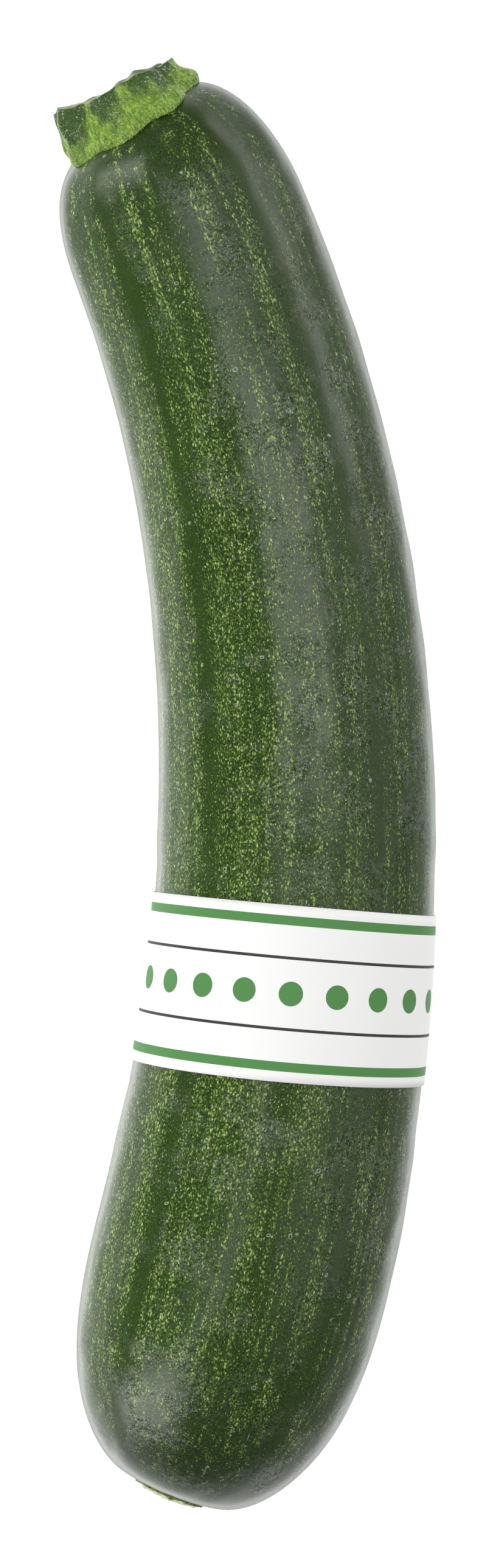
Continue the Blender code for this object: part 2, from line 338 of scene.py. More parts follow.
# The same places drawn together along the fruit, so that flecks come out longer than wide, and
# longest near the stem
SQUEEZE = 0.60
SQUEEZE_DROP_AT_STEM = 0.40
SQUEEZE_DROP_AT_BLOSSOM = 0.12
runs = np.linspace(0.0, SKIN_LENGTH, 2001)
squeeze = SQUEEZE - SQUEEZE_DROP_AT_STEM * np.exp(-(SKIN_LENGTH - runs) / 0.05)
squeeze = squeeze - SQUEEZE_DROP_AT_BLOSSOM * np.exp(-runs / 0.03)
fleck_places = straight.copy()
fleck_places[..., 1] = np.interp(skin_run, runs, running_sum(squeeze, runs))
add_vectors(skin_mesh, "fleck_place", fleck_places)

# Nearly bare lanes a few millimetres wide, one in each furrow, clearest towards the stem
furrow_turn = (skin_turn - RIDGE_TURN + LANE_OFFSET) * RIDGE_COUNT
lane_across = np.abs(np.arctan2(-np.sin(furrow_turn), -np.cos(furrow_turn)))
lane_across = lane_across / RIDGE_COUNT * skin_found["radius"]
lane_edge = LANE_WANDER * waves(skin_run, skin_turn, 8, 3, 0.03, 8)
lane = LANE_HALF_WIDTH + LANE_SOFTNESS - lane_across + lane_edge
lane = smooth_step(lane / (2.0 * LANE_SOFTNESS))
lane = lane * (0.5 + 0.4 * smooth_step(1.0 - from_stem / LANE_REACH)) * smooth_step(skin_run / 0.03)
add_values(skin_mesh, "lane", lane)

# How big the flecks grow: smaller near the blossom; near the stem most in rows that run together
# towards it, and hardly on the tops of the ridges
FLECK_ROWS = ((31, 0.4), (37, 1.9), (23, 4.0), (44, 2.2))
INNER_TURN = math.radians(130)
row_wave = sum(np.cos(count * skin_turn + phase) for count, phase in FLECK_ROWS) / 2.0
near_stem = np.exp(-from_stem / 0.045)
row_gain = 1.0 + near_stem * (0.52 + 0.62 * smooth_step(0.5 + 0.9 * row_wave) - 1.0)
top_turn = (skin_turn - RIDGE_TURN) * RIDGE_COUNT
top_across = np.arctan2(np.sin(top_turn), np.cos(top_turn)) / RIDGE_COUNT * skin_found["radius"]
row_gain = row_gain * (1.0 - 0.85 * np.exp(-((top_across / 0.0022) ** 2) - from_stem / 0.035))
blossom_gain = 0.78 + 0.22 * smooth_step((skin_run - 0.006) / 0.030)
side_gain = 0.85 + 0.15 * np.cos(skin_turn - INNER_TURN)
add_values(skin_mesh, "fleck_gain", row_gain * blossom_gain * side_gain)

# How far the flecks keep to long rows: least on the inside of the bend, most at both ends
in_rows = 0.65 - 0.45 * np.cos(skin_turn - INNER_TURN)
in_rows = in_rows + 0.8 * near_stem + 0.8 * np.exp(-skin_run / 0.04)
add_values(skin_mesh, "in_rows", in_rows)

# The crinkle is weak at both ends, painted shade darkens the green at the blossom end and on the outside
# of the bend, and the wax thins towards the outside of the bend
crinkled = 1.0 - 0.85 * np.exp(-from_stem / 0.05) - 0.6 * np.exp(-skin_run / 0.02)
add_values(skin_mesh, "crinkled", crinkled)
painted_shade = 0.5 + 0.5 * smooth_step((skin_run - 0.016) / 0.030)
add_values(skin_mesh, "painted_shade", painted_shade * (0.86 - 0.14 * np.cos(skin_turn)))
add_values(skin_mesh, "wax", 0.86 - 0.26 * np.cos(skin_turn))
fruit_skin = bpy.data.objects.new("fruit_skin", skin_mesh)
bpy.context.scene.collection.objects.link(fruit_skin)

# Waxed plant skin: dark green, with cork-pale flecks in the rows and a thin natural wax that gives a
# broad grey sheen, broken up by a fine leathery crinkle.
FLECK_SPACING = 0.00040
SMALL_FLECK_SPACING = 0.00029
ROW_SPACING = 0.0012
CRINKLE_SIZE = 0.00034
SPOT_SPACING = 0.006
WOBBLE_SIZE = 0.0007
WOBBLE = 0.0005
STREAK_SPACING = 0.004
PATCH_SIZE = 0.020
CRINKLE_PATCH_SIZE = 0.008
CREASE_SPACING = 0.0009

skin_material, tree, shader = new_material("waxed_zucchini_skin")
place = node(tree, "Attribute", {}, "Vector", attribute_name="straight")
lane_value = node(tree, "Attribute", {}, "Fac", attribute_name="lane")
fleck_gain_value = node(tree, "Attribute", {}, "Fac", attribute_name="fleck_gain")
wobble = node(tree, "TexNoise", {"Vector": place, "Scale": 1.0 / WOBBLE_SIZE, "Detail": 2.0}, "Color")
wobble = node(tree, "VectorMath", {0: wobble, 1: (0.5, 0.5, 0.5)}, operation="SUBTRACT")
wobble = node(tree, "VectorMath", {0: wobble, "Scale": WOBBLE}, operation="SCALE")
wobbled = node(tree, "VectorMath", {0: place, 1: wobble}, operation="ADD")
fleck_place = node(tree, "Attribute", {}, "Vector", attribute_name="fleck_place")
fleck_place = node(tree, "VectorMath", {0: fleck_place, 1: wobble}, operation="ADD")

# Rows and paler streaks that run along the fruit, and slow patches of lighter and darker green
row_place = node(tree, "VectorMath", {0: place, 1: (1.0, 0.05, 1.0)}, operation="MULTIPLY")
rows = node(tree, "TexNoise", {"Vector": row_place, "Scale": 1.0 / ROW_SPACING, "Detail": 0.5}, "Fac")
streak_place = node(tree, "VectorMath", {0: place, 1: (1.0, 0.08, 1.0)}, operation="MULTIPLY")
streaks = node(
    tree, "TexNoise", {"Vector": streak_place, "Scale": 1.0 / STREAK_SPACING, "Detail": 3.0}, "Fac"
)
patches = node(tree, "TexNoise", {"Vector": place, "Scale": 1.0 / PATCH_SIZE, "Detail": 2.0}, "Fac")

# Big flecks: a round patch about each Voronoi point, its size drawn from the cell and from the row
near_fleck = tree.nodes.new("ShaderNodeTexVoronoi")
tree.links.new(fleck_place, near_fleck.inputs["Vector"])
near_fleck.inputs["Scale"].default_value = 1.0 / FLECK_SPACING
fleck_draw = node(tree, "SeparateColor", {0: near_fleck.outputs["Color"]}, 0)
in_rows = node(tree, "Attribute", {}, "Fac", attribute_name="in_rows")
row_gain = node(
    tree, "MapRange", {"Value": rows, "From Min": 0.40, "From Max": 0.60, "To Min": -0.62, "To Max": 0.1}
)
row_gain = node(tree, "Math", {0: row_gain, 1: in_rows, 2: 1.0}, operation="MULTIPLY_ADD")
fleck_size = node(tree, "MapRange", {"Value": fleck_draw, "To Min": 0.33, "To Max": 0.49})
fleck_size = node(tree, "Math", {0: fleck_size, 1: row_gain}, operation="MULTIPLY")
bare = node(tree, "Math", {0: lane_value, 1: -0.8, 2: 1.0}, operation="MULTIPLY_ADD")
bare = node(tree, "Math", {0: bare, 1: fleck_gain_value}, operation="MULTIPLY")
fleck_size = node(tree, "Math", {0: fleck_size, 1: bare}, operation="MULTIPLY")
fleck = node(tree, "Math", {0: fleck_size, 1: near_fleck.outputs["Distance"]}, operation="SUBTRACT")
painted_shade_ring = node(
    tree, "MapRange", {"Value": fleck, "From Min": -0.22, "From Max": 0.0, "To Min": 1.0, "To Max": 0.58}
)
fleck = node(
    tree, "MapRange", {"Value": fleck, "From Min": -0.03, "From Max": 0.17}, interpolation_type="SMOOTHSTEP"
)

# Small flecks between them: dimmer dots, all of one size apart from the row they are in
small_fleck = tree.nodes.new("ShaderNodeTexVoronoi")
tree.links.new(fleck_place, small_fleck.inputs["Vector"])
small_fleck.inputs["Scale"].default_value = 1.0 / SMALL_FLECK_SPACING
small_size = node(tree, "Math", {0: row_gain, 1: 0.48}, operation="MULTIPLY")
small_size = node(tree, "Math", {0: small_size, 1: bare}, operation="MULTIPLY")
small = node(tree, "Math", {0: small_size, 1: small_fleck.outputs["Distance"]}, operation="SUBTRACT")
small = node(
    tree,
    "MapRange",
    {"Value": small, "From Min": -0.06, "From Max": 0.2, "To Max": 0.9},
    interpolation_type="SMOOTHSTEP",
)

# Corky spots: a few round scabs, each a pale ring with a raised edge
spot = node(tree, "TexVoronoi", {"Vector": wobbled, "Scale": 1.0 / SPOT_SPACING}, "Distance")
spot = node(tree, "Math", {0: spot, 1: 0.058, 2: 0.014}, operation="COMPARE")

# Colour: dark green ground, with painted shade close round each big fleck, and the flecks and spots over it
ground = node(tree, "Mix", {0: patches, 6: linear("1b3104"), 7: linear("2a4709")}, 2, data_type="RGBA")
streak_share = node(tree, "MapRange", {"Value": streaks, "From Min": 0.35, "From Max": 0.7, "To Max": 0.7})
ground = node(tree, "Mix", {0: streak_share, 6: ground, 7: linear("304a16")}, 2, data_type="RGBA")
ground = node(tree, "Mix", {0: lane_value, 6: ground, 7: linear("2c450a")}, 2, data_type="RGBA")
ground = node(tree, "Mix", {0: 1.0, 6: ground, 7: painted_shade_ring}, 2, data_type="RGBA", blend_type="MULTIPLY")
fleck_colour = node(
    tree, "Mix", {0: fleck_draw, 6: linear("587a30"), 7: linear("a0b666")}, 2, data_type="RGBA"
)
coloured = node(tree, "Mix", {0: small, 6: ground, 7: linear("5c7a2a")}, 2, data_type="RGBA")
coloured = node(tree, "Mix", {0: fleck, 6: coloured, 7: fleck_colour}, 2, data_type="RGBA")
coloured = node(tree, "Mix", {0: spot, 6: coloured, 7: linear("93a086")}, 2, data_type="RGBA")

# Crinkle: fine wrinkles that come and go in patches, with painted shade in their valleys and painted
# light on their crests, and the flecks standing a hair proud
crinkle = node(
    tree,
    "TexNoise",
    {"Vector": wobbled, "Scale": 1.0 / CRINKLE_SIZE, "Detail": 3.0, "Distortion": 0.8},
    "Fac",
)
crinkle_patches = node(
    tree,
    "TexNoise",
    {"Vector": wobbled, "Scale": 1.0 / CRINKLE_PATCH_SIZE, "Detail": 3.0, "Roughness": 0.6},
    "Fac",
)
crinkle_share = node(
    tree,
    "MapRange",
    {"Value": crinkle_patches, "From Min": 0.48, "From Max": 0.62, "To Min": 0.12, "To Max": 1.15},
)
crinkle_gain = node(tree, "Attribute", {}, "Fac", attribute_name="crinkled")
crinkle_share = node(tree, "Math", {0: crinkle_share, 1: crinkle_gain}, operation="MULTIPLY")
smooth_lane = node(tree, "Math", {0: lane_value, 1: -0.7, 2: 1.0}, operation="MULTIPLY_ADD")
crinkle_share = node(tree, "Math", {0: crinkle_share, 1: smooth_lane}, operation="MULTIPLY")
# Painted shade in the wrinkle valleys and painted light on their crests, calmed in the lanes
shade = node(
    tree, "MapRange", {"Value": crinkle, "From Min": 0.3, "From Max": 0.7, "To Min": -0.6, "To Max": 0.7}
)
calm = node(tree, "Math", {0: lane_value, 1: -0.75, 2: 1.0}, operation="MULTIPLY_ADD")
shade = node(tree, "Math", {0: shade, 1: calm, 2: 1.0}, operation="MULTIPLY_ADD")
# Painted shade: the colour is darker at the blossom end and on the outside of the bend
painted_shade = node(tree, "Attribute", {}, "Fac", attribute_name="painted_shade")
shade = node(tree, "Math", {0: shade, 1: painted_shade}, operation="MULTIPLY")
coloured = node(tree, "Mix", {0: 1.0, 6: coloured, 7: shade}, 2, data_type="RGBA", blend_type="MULTIPLY")
tree.links.new(coloured, shader.inputs["Base Color"])
height = node(tree, "Math", {0: crinkle, 1: crinkle_share}, operation="MULTIPLY")
height = node(tree, "Math", {0: fleck, 1: 0.12, 2: height}, operation="MULTIPLY_ADD")
height = node(tree, "Math", {0: spot, 1: 0.5, 2: height}, operation="MULTIPLY_ADD")
bump = node(tree, "Bump", {"Height": height, "Strength": 1.0, "Distance": 0.00010})
tree.links.new(bump, shader.inputs["Normal"])
rough = node(
    tree, "MapRange", {"Value": patches, "From Min": 0.3, "From Max": 0.7, "To Min": 0.17, "To Max": 0.24}
)
smoothed = node(tree, "Math", {0: 1.0, 1: crinkle_gain}, operation="SUBTRACT")
rough = node(tree, "Math", {0: smoothed, 1: 0.16, 2: rough}, operation="MULTIPLY_ADD")
tree.links.new(rough, shader.inputs["Roughness"])
shader.inputs["IOR"].default_value = 1.45

# Wax: a second, softer sheen on the slopes of the sides, which stops short of the rim. The gloss under
# it weakens at the rim, and in the crinkled patches it breaks into bright crease lines with dull cells
# between them.
grazing = node(tree, "LayerWeight", {"Blend": 0.5}, "Facing")
wax_start = node(tree, "MapRange", {"Value": grazing, "From Min": 0.52, "From Max": 0.74})
wax_stop = node(
    tree, "MapRange", {"Value": grazing, "From Min": 0.74, "From Max": 0.92, "To Min": 1.0, "To Max": 0.0}
)
wax = node(tree, "Math", {0: wax_start, 1: wax_stop}, operation="MULTIPLY")
wax_amount = node(tree, "Attribute", {}, "Fac", attribute_name="wax")
wax = node(tree, "Math", {0: wax, 1: wax_amount}, operation="MULTIPLY")
tree.links.new(wax, shader.inputs["Coat Weight"])
gloss = node(
    tree, "MapRange", {"Value": grazing, "From Min": 0.74, "From Max": 0.95, "To Min": 0.5, "To Max": 0.12}
)
creases = node(
    tree,
    "TexNoise",
    {"Vector": wobbled, "Scale": 1.0 / CREASE_SPACING, "Detail": 2.5, "Distortion": 1.0},
    "Fac",
)
creases = node(tree, "Math", {0: creases, 1: 0.5}, operation="SUBTRACT")
creases = node(tree, "Math", {0: creases}, operation="ABSOLUTE")
wrinkle = node(
    tree, "MapRange", {"Value": creases, "From Min": 0.0, "From Max": 0.09, "To Min": 2.0, "To Max": -0.6}
)
wrinkle = node(tree, "Math", {0: wrinkle, 1: crinkle_share, 2: 1.0}, operation="MULTIPLY_ADD")
wrinkle = node(tree, "Math", {0: wrinkle, 1: 0.0}, operation="MAXIMUM")
gloss = node(tree, "Math", {0: gloss, 1: wrinkle}, operation="MULTIPLY")
tree.links.new(gloss, shader.inputs["Specular IOR Level"])
shader.inputs["Coat IOR"].default_value = 1.6
shader.inputs["Coat Roughness"].default_value = 0.2
fruit_skin.data.materials.append(skin_material)
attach(fruit_skin, "root")
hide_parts("fruit")

# The stem
# The stub of stem that stays on the picked fruit: fibrous green tissue with eight ribs, whose foot
# clasps the shoulder. It was cut through with a knife, and its cut end has dried a little hollow.
STEM_HEADING = math.radians(-31.0)
STEM_CLIMB = math.radians(17.0)
STEM_FOOT_REACH = 0.0128
STEM_FOOT_OFFSET = 0.0024
STEM_FOOT_OFFSET_TURN = math.radians(98)
STEM_TOP_RADIUS = 0.0111
STEM_LIP = 0.0007
STEM_RIDGES = 8
STEM_RIDGE_TURN = math.radians(107)
STEM_RIDGE_HEIGHT = 0.14
STEM_FOOT_RIDGE_HEIGHT = 0.06
STEM_CUT_HEIGHT = 0.0055
STEM_CUT_SLANT = 0.0012
STEM_CUT_LOW_TURN = math.radians(-20)
STEM_CUT_RIPPLE = 0.0003
STEM_CUT_RIPPLES = (3, 5)
STEM_CUT_DISH = 0.0009
# Each fold in the wall: its turn and width in degrees, and how far it stands out, in metres
STEM_FOLDS = (
    (156, 5, 0.0005),
    (139, 9, -0.0003),
    (126, 5, 0.0003),
    (110, 10, -0.0003),
    (91, 6, 0.0003),
    (43, 6, -0.0010),
)
STEM_SINK = -0.0002
STEM_UNDERSIDE = 0.12
STEM_WALL = 0.70
STEM_RAGGED_FOOT = 0.0002
STEM_RAGGED_CUT = 0.00022
STEM_LUMPS = 0.00030
STEM_SMALL_LUMPS = 0.00016
STEM_STEPS_ROUND = 320
STEM_ROWS = 140


def stem_point(run, turn):
    """The stub from the middle of its underside out to the foot, up the wall and in over the dished cut.

    The wall is a straight line from foot to cut edge, bulged outwards by a sine. The ribs are cosines and
    the folds are bells round the girth."""
    underside = np.clip(run / STEM_UNDERSIDE, 0.0, 1.0)
    wall = np.clip((run - STEM_UNDERSIDE) / (STEM_WALL - STEM_UNDERSIDE), 0.0, 1.0)[..., None]
    cut = np.clip((1.0 - run) / (1.0 - STEM_WALL), 0.0, 1.0)
    ridge = 0.5 * np.cos(STEM_RIDGES * (turn - STEM_RIDGE_TURN))
    reach = STEM_FOOT_REACH + STEM_FOOT_OFFSET * np.cos(turn - STEM_FOOT_OFFSET_TURN)
    reach = reach * (1.0 + STEM_FOOT_RIDGE_HEIGHT * ridge)
    reach = reach + STEM_RAGGED_FOOT * waves(0.0, turn, 9, 22, 1.0, 5)
    foot = skin_point(SKIN_LENGTH - reach * underside, turn, STEM_SINK)
    axis, sideways, upward = directions(np.array(STEM_HEADING), np.array(STEM_CLIMB))
    outward = sideways * np.cos(turn)[..., None] + upward * np.sin(turn)[..., None]
    ripple = sum(np.cos(count * turn + count) for count in STEM_CUT_RIPPLES)
    edge_height = -STEM_CUT_SLANT * np.cos(turn - STEM_CUT_LOW_TURN) + STEM_CUT_RIPPLE * ripple
    edge_height = edge_height + STEM_RAGGED_CUT * waves(0.0, turn, 10, 26, 1.0, 6)
    height = STEM_CUT_HEIGHT + edge_height * cut - STEM_CUT_DISH * (1.0 - cut**2)
    radius = STEM_TOP_RADIUS * (1.0 + STEM_RIDGE_HEIGHT * ridge * cut**2) * cut
    middle = skin_point(np.array(SKIN_LENGTH), np.array(0.0))
    cut_face = middle + outward * radius[..., None] + axis * height[..., None]
    body = foot + (cut_face - foot) * wall + outward * STEM_LIP * np.sin(math.pi * wall**0.5)
    lumps = STEM_LUMPS * waves(run * 0.02, turn, 16, 14, 0.006, 7)
    lumps = lumps + STEM_SMALL_LUMPS * waves(run * 0.02, turn, 24, 60, 0.012, 9)
    for fold_turn, width, rise in STEM_FOLDS:
        aside = np.angle(np.exp(1j * (turn - math.radians(fold_turn)))) / math.radians(width)
        lumps = lumps + rise * np.exp(-(aside**2))
    body = body + outward * (lumps * np.sin(math.pi * wall[..., 0]) ** 0.5)[..., None]
    return np.where((run > STEM_UNDERSIDE)[..., None], body, foot)


stem_run, stem_turn = np.meshgrid(
    np.linspace(0.0, 1.0, STEM_ROWS + 1),
    np.arange(STEM_STEPS_ROUND) * 2.0 * math.pi / STEM_STEPS_ROUND - math.pi,
    indexing="ij",
)
stem_places = stem_point(stem_run, stem_turn)
stem_mesh, map_rows, map_columns = closed_grid("stem_stub", stem_places)
add_map(stem_mesh, "OFBake", map_columns / STEM_STEPS_ROUND, map_rows / STEM_ROWS)
stem_wall = np.clip((stem_run - STEM_UNDERSIDE) / (STEM_WALL - STEM_UNDERSIDE), 0.0, 1.0)
add_values(stem_mesh, "up_stem", stem_wall)
# The dark green, partly painted shade in the hollows between the folds, starts this far up the wall, by
# the angle round the stem: none on the bright folds
dark_and_shade_turns = np.radians(
    [-180, -90, 0, 15, 25, 35, 50, 75, 84, 91, 98, 110, 120, 126, 132, 145, 153, 158, 168, 180]
)
dark_and_shade_starts = [
    0.6, 0.6, 0.85, 0.75, 1.0, 0.5, 0.5, 0.6, 0.7, 1.3, 0.6, 0.4, 0.6, 1.3, 0.5, 0.2, 0.25, 1.3, 0.75, 0.6
]
add_values(stem_mesh, "dark_and_shade_start", np.interp(stem_turn, dark_and_shade_turns, dark_and_shade_starts))

# Places on the wall as on a round drum, drawn together up the stem, so that fibres come out long
DRUM_RADIUS = 0.012
DRUM_HEIGHT = 0.0025
fibre_places = np.stack(
    [DRUM_RADIUS * np.cos(stem_turn), DRUM_HEIGHT * stem_wall, DRUM_RADIUS * np.sin(stem_turn)], -1
)
add_vectors(stem_mesh, "fibre_place", fibre_places)
add_values(stem_mesh, "cut", smooth_step((stem_run - STEM_WALL - 0.03) / 0.04))
stem_stub = bpy.data.objects.new("stem_stub", stem_mesh)
bpy.context.scene.collection.objects.link(stem_stub)

# Fresh stem tissue: yellow-green near the fruit and dark green towards the cut, partly painted shade in the
# hollows between the folds, with pale dots on the ribs that are painted glints; moist, with coarse fibres
# running up it; its cut face is paler.
BLOTCH_SIZE = 0.0022
FIBRE_SPACING = 0.0005
GRAIN_SIZE = 0.00035
GLINT_DOT_SPACING = 0.0011

stem_material, tree, shader = new_material("fresh_stem_tissue")
place = node(tree, "TexCoord", {}, "Object")
fibre_place = node(tree, "Attribute", {}, "Vector", attribute_name="fibre_place")
up_stem = node(tree, "Attribute", {}, "Fac", attribute_name="up_stem")
dark_and_shade_start = node(tree, "Attribute", {}, "Fac", attribute_name="dark_and_shade_start")
cut_value = node(tree, "Attribute", {}, "Fac", attribute_name="cut")
blotches = node(
    tree, "TexNoise", {"Vector": place, "Scale": 1.0 / BLOTCH_SIZE, "Detail": 4.0, "Roughness": 0.65}, "Fac"
)
fibres = node(
    tree,
    "TexNoise",
    {"Vector": fibre_place, "Scale": 1.0 / FIBRE_SPACING, "Detail": 4.0, "Distortion": 0.6},
    "Fac",
)
grain = node(
    tree, "TexNoise", {"Vector": place, "Scale": 1.0 / GRAIN_SIZE, "Detail": 3.0, "Distortion": 1.0}, "Fac"
)
# Darker green with painted shade: rising up the wall and deepest in the hollows between the folds, broken
# by blotches and fibres
dark_and_shade_share = node(tree, "Math", {0: up_stem, 1: dark_and_shade_start}, operation="SUBTRACT")
dark_and_shade_share = node(tree, "Math", {0: blotches, 1: 1.2, 2: dark_and_shade_share}, operation="MULTIPLY_ADD")
dark_and_shade_share = node(tree, "Math", {0: fibres, 1: 0.6, 2: dark_and_shade_share}, operation="MULTIPLY_ADD")
dark_and_shade_share = node(
    tree,
    "MapRange",
    {"Value": dark_and_shade_share, "From Min": 0.68, "From Max": 1.2},
    interpolation_type="SMOOTHSTEP",
)
fibre_share = node(tree, "MapRange", {"Value": fibres, "From Min": 0.35, "From Max": 0.65})
tissue = node(tree, "Mix", {0: fibre_share, 6: linear("5f841c"), 7: linear("9abc4a")}, 2, data_type="RGBA")
tissue = node(tree, "Mix", {0: dark_and_shade_share, 6: tissue, 7: linear("3d5a22")}, 2, data_type="RGBA")
cut_colour = node(tree, "Mix", {0: grain, 6: linear("6f8448"), 7: linear("a9b487")}, 2, data_type="RGBA")
tissue = node(tree, "Mix", {0: cut_value, 6: tissue, 7: cut_colour}, 2, data_type="RGBA")
shade = node(
    tree, "MapRange", {"Value": grain, "From Min": 0.3, "From Max": 0.7, "To Min": 0.5, "To Max": 1.55}
)
# Pale dots over the dark green: painted glints
dots = node(tree, "TexVoronoi", {"Vector": place, "Scale": 1.0 / GLINT_DOT_SPACING}, "Distance")
dots = node(
    tree, "MapRange", {"Value": dots, "From Min": 0.10, "From Max": 0.17, "To Min": 1.0, "To Max": 0.0}
)
dots = node(tree, "Math", {0: dots, 1: dark_and_shade_share}, operation="MULTIPLY")
tissue = node(tree, "Mix", {0: 1.0, 6: tissue, 7: shade}, 2, data_type="RGBA", blend_type="MULTIPLY")
tissue = node(tree, "Mix", {0: dots, 6: tissue, 7: linear("c3cfb0")}, 2, data_type="RGBA")
tree.links.new(tissue, shader.inputs["Base Color"])
height = node(tree, "Math", {0: fibres, 1: 1.5, 2: grain}, operation="MULTIPLY_ADD")
bump = node(tree, "Bump", {"Height": height, "Strength": 1.0, "Distance": 0.0003})
tree.links.new(bump, shader.inputs["Normal"])
shader.inputs["Roughness"].default_value = 0.36
shader.inputs["IOR"].default_value = 1.42
shader.inputs["Subsurface Weight"].default_value = 0.1
shader.inputs["Subsurface Radius"].default_value = (0.0006, 0.0008, 0.0003)
shader.inputs["Subsurface Scale"].default_value = 1.0
stem_stub.data.materials.append(stem_material)
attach(stem_stub, "root")
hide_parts("stem")

# The stem's hairs
# Short stiff white hairs of the living plant, which stand out of the stem's wall and lie across the
# line where its foot meets the skin. Each is a thin three-sided spine that tapers to a point.
HAIR_COUNT = 1700
LONG_HAIRS = 110
HAIR_RADIUS = 0.000032
HAIR_SINK = 0.00005
HAIR_JOINTS = 3


def hair_meshes(name, roots, along, lengths, bends, draw):
    """Many tapering three-sided spines: each follows its direction, bent by the square of the way up it."""
    count = len(roots)
    side = np.cross(along, draw.normal(size=(count, 3)))
    side /= np.linalg.norm(side, axis=-1, keepdims=True)
    other = np.cross(along, side)
    up = np.linspace(0.0, 1.0, HAIR_JOINTS)[None, :, None]
    spine = roots[:, None] + along[:, None] * lengths[:, None, None] * up
    spine = spine + side[:, None] * (bends * lengths)[:, None, None] * up**2
    angle = np.arange(3) * 2.0 * math.pi / 3.0
    around = side[:, None, :] * np.cos(angle)[None, :, None]
    around = around + other[:, None, :] * np.sin(angle)[None, :, None]
    width = HAIR_RADIUS * (1.0 - 0.9 * up[..., None])
    rings = spine[:, :, None] + around[:, None] * width
    places = rings.reshape(-1, 3)
    first = (np.arange(count) * HAIR_JOINTS * 3)[:, None, None]
    joint = (np.arange(HAIR_JOINTS - 1) * 3)[None, :, None]
    step = np.arange(3)[None, None, :]
    after = (step + 1) % 3
    sides = np.stack(
        [first + joint + step, first + joint + after, first + joint + 3 + after, first + joint + 3 + step],
        -1,
    )
    ends = (HAIR_JOINTS - 1) * 3
    bottoms = np.concatenate([first + 2, first + 1, first], -1).reshape(-1, 3)
    tops = np.concatenate([first + ends, first + ends + 1, first + ends + 2], -1).reshape(-1, 3)
    faces = sides.reshape(-1, 4).tolist() + bottoms.tolist() + tops.tolist()
    mesh = bpy.data.meshes.new(name)
    mesh.from_pydata(places.tolist(), [], faces)
    made = bpy.data.objects.new(name, mesh)
    bpy.context.scene.collection.objects.link(made)
    return made


# The first hairs are longer and stand on two of the folds
draw = np.random.default_rng(11)
on_fold = np.arange(HAIR_COUNT) < LONG_HAIRS
hair_run = STEM_UNDERSIDE + (STEM_WALL - STEM_UNDERSIDE) * draw.uniform(0.0, 1.0, HAIR_COUNT) ** 1.2
hair_turn = draw.uniform(-math.pi, math.pi, HAIR_COUNT)
fold_turn = np.radians(
    np.where(np.arange(HAIR_COUNT) % 2 == 0, 44.0, 156.0) + draw.normal(0.0, 4.0, HAIR_COUNT)
)
hair_turn = np.where(on_fold, fold_turn, hair_turn)
hair_step = 0.004
hair_root = stem_point(hair_run, hair_turn)
hair_up = stem_point(hair_run + hair_step, hair_turn) - hair_root
hair_round = stem_point(hair_run, hair_turn + hair_step) - hair_root
hair_out = np.cross(hair_round, hair_up)
for vectors in (hair_up, hair_round, hair_out):
    vectors /= np.linalg.norm(vectors, axis=-1, keepdims=True)
hair_lean = draw.uniform(0.0, 2.0 * math.pi, (HAIR_COUNT, 1))
hair_along = 0.30 * hair_out + hair_up * np.cos(hair_lean) + hair_round * np.sin(hair_lean)
hair_along /= np.linalg.norm(hair_along, axis=-1, keepdims=True)
hair_length = np.where(
    on_fold, draw.uniform(0.0009, 0.0019, HAIR_COUNT), draw.uniform(0.0005, 0.0014, HAIR_COUNT)
)
hair_bend = draw.uniform(-0.5, 0.5, HAIR_COUNT)
stem_hairs = hair_meshes(
    "stem_hairs", hair_root - hair_out * HAIR_SINK, hair_along, hair_length, hair_bend, draw
)

# Plant hair: clear, glassy spines that look white because they scatter the light.
hair_material, tree, shader = new_material("clear_plant_hair")
shader.inputs["Base Color"].default_value = linear("e6e8da")
shader.inputs["Roughness"].default_value = 0.35
shader.inputs["IOR"].default_value = 1.5
stem_hairs.data.materials.append(hair_material)
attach(stem_hairs, "root")

# Lint
# A few loose white fibres, a millimetre or two long, that cling to the wax where the fruit was
# handled. Each lies flat on the skin with a slight bend.
LINT_COUNT = 44
LINT_PROUD = 0.00012
PAST_BAND = 0.062

lint_draw = np.random.default_rng(31)
lint_run = SKIN_LENGTH * lint_draw.uniform(0.08, 0.90, LINT_COUNT)
on_band = under_band(np.interp(lint_run, LINES["skin"], LINES["distance"])) > 0.0
lint_run = np.where(on_band, lint_run + PAST_BAND, lint_run)
lint_turn = lint_draw.uniform(math.radians(15), math.radians(165), LINT_COUNT)
lint_root = skin_point(lint_run, lint_turn, LINT_PROUD)
lint_up = skin_point(lint_run + 0.001, lint_turn, LINT_PROUD) - lint_root
lint_round = skin_point(lint_run, lint_turn + 0.02, LINT_PROUD) - lint_root
for vectors in (lint_up, lint_round):
    vectors /= np.linalg.norm(vectors, axis=-1, keepdims=True)
lint_lean = lint_draw.uniform(0.0, 2.0 * math.pi, (LINT_COUNT, 1))
lint_along = lint_up * np.cos(lint_lean) + lint_round * np.sin(lint_lean)
lint_length = lint_draw.uniform(0.0006, 0.0020, LINT_COUNT)
lint_bend = lint_draw.uniform(-0.25, 0.25, LINT_COUNT)
skin_lint = hair_meshes("skin_lint", lint_root, lint_along, lint_length, lint_bend, lint_draw)
skin_lint.data.materials.append(hair_material)
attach(skin_lint, "root")

# The blossom scar
# The corky disc left where the flower fell off: a low dome of dry pale tissue with a ragged green rim
# that grows from the end of the fruit.
SCAR_RADIUS = 0.0065
SCAR_RIM_THICKNESS = 0.0005
SCAR_DOME_HEIGHT = 0.0009
SCAR_RIM_WAVES = (3, 7)
SCAR_RIM_WAVE_SHARE = 0.035
SCAR_RAGGED_SHARE = 0.022
SCAR_ROUGHNESS = 0.00016
SCAR_STEPS_ROUND = 320
SCAR_ROWS = 60
SCAR_DOME = 0.6
SCAR_RIM = 0.78


